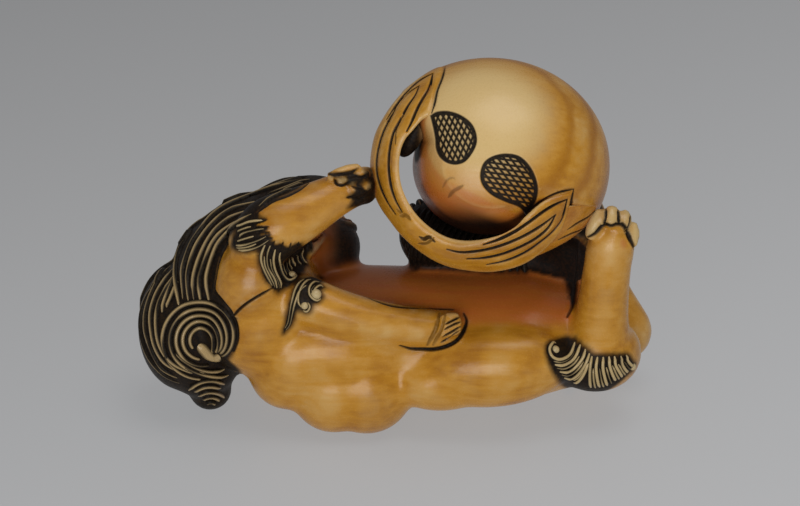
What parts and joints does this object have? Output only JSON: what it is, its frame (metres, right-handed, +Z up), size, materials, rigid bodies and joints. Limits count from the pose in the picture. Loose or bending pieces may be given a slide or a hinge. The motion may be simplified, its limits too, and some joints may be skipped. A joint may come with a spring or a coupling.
{
  "type": "netsuke",
  "caption": "Ivory netsuke carved as a lion-dog lying on its back, holding up a large ball tied with a loop of ribbon.",
  "frame": {"origin": "middle of the carving's footprint, on the surface it rests on", "axes": "+X from the mane to the hind feet, +Y from the shown side to the side turned away, +Z up from the animal's back to the ball"},
  "size_m": [0.0554, 0.0228, 0.0401],
  "materials": {
    "ivory": "polished ivory with a worn golden stain; dark stain in the carved lines"
  },
  "bodies": {
    "root": {"lion_dog_and_ball": "ivory"}
  },
  "joints": []
}
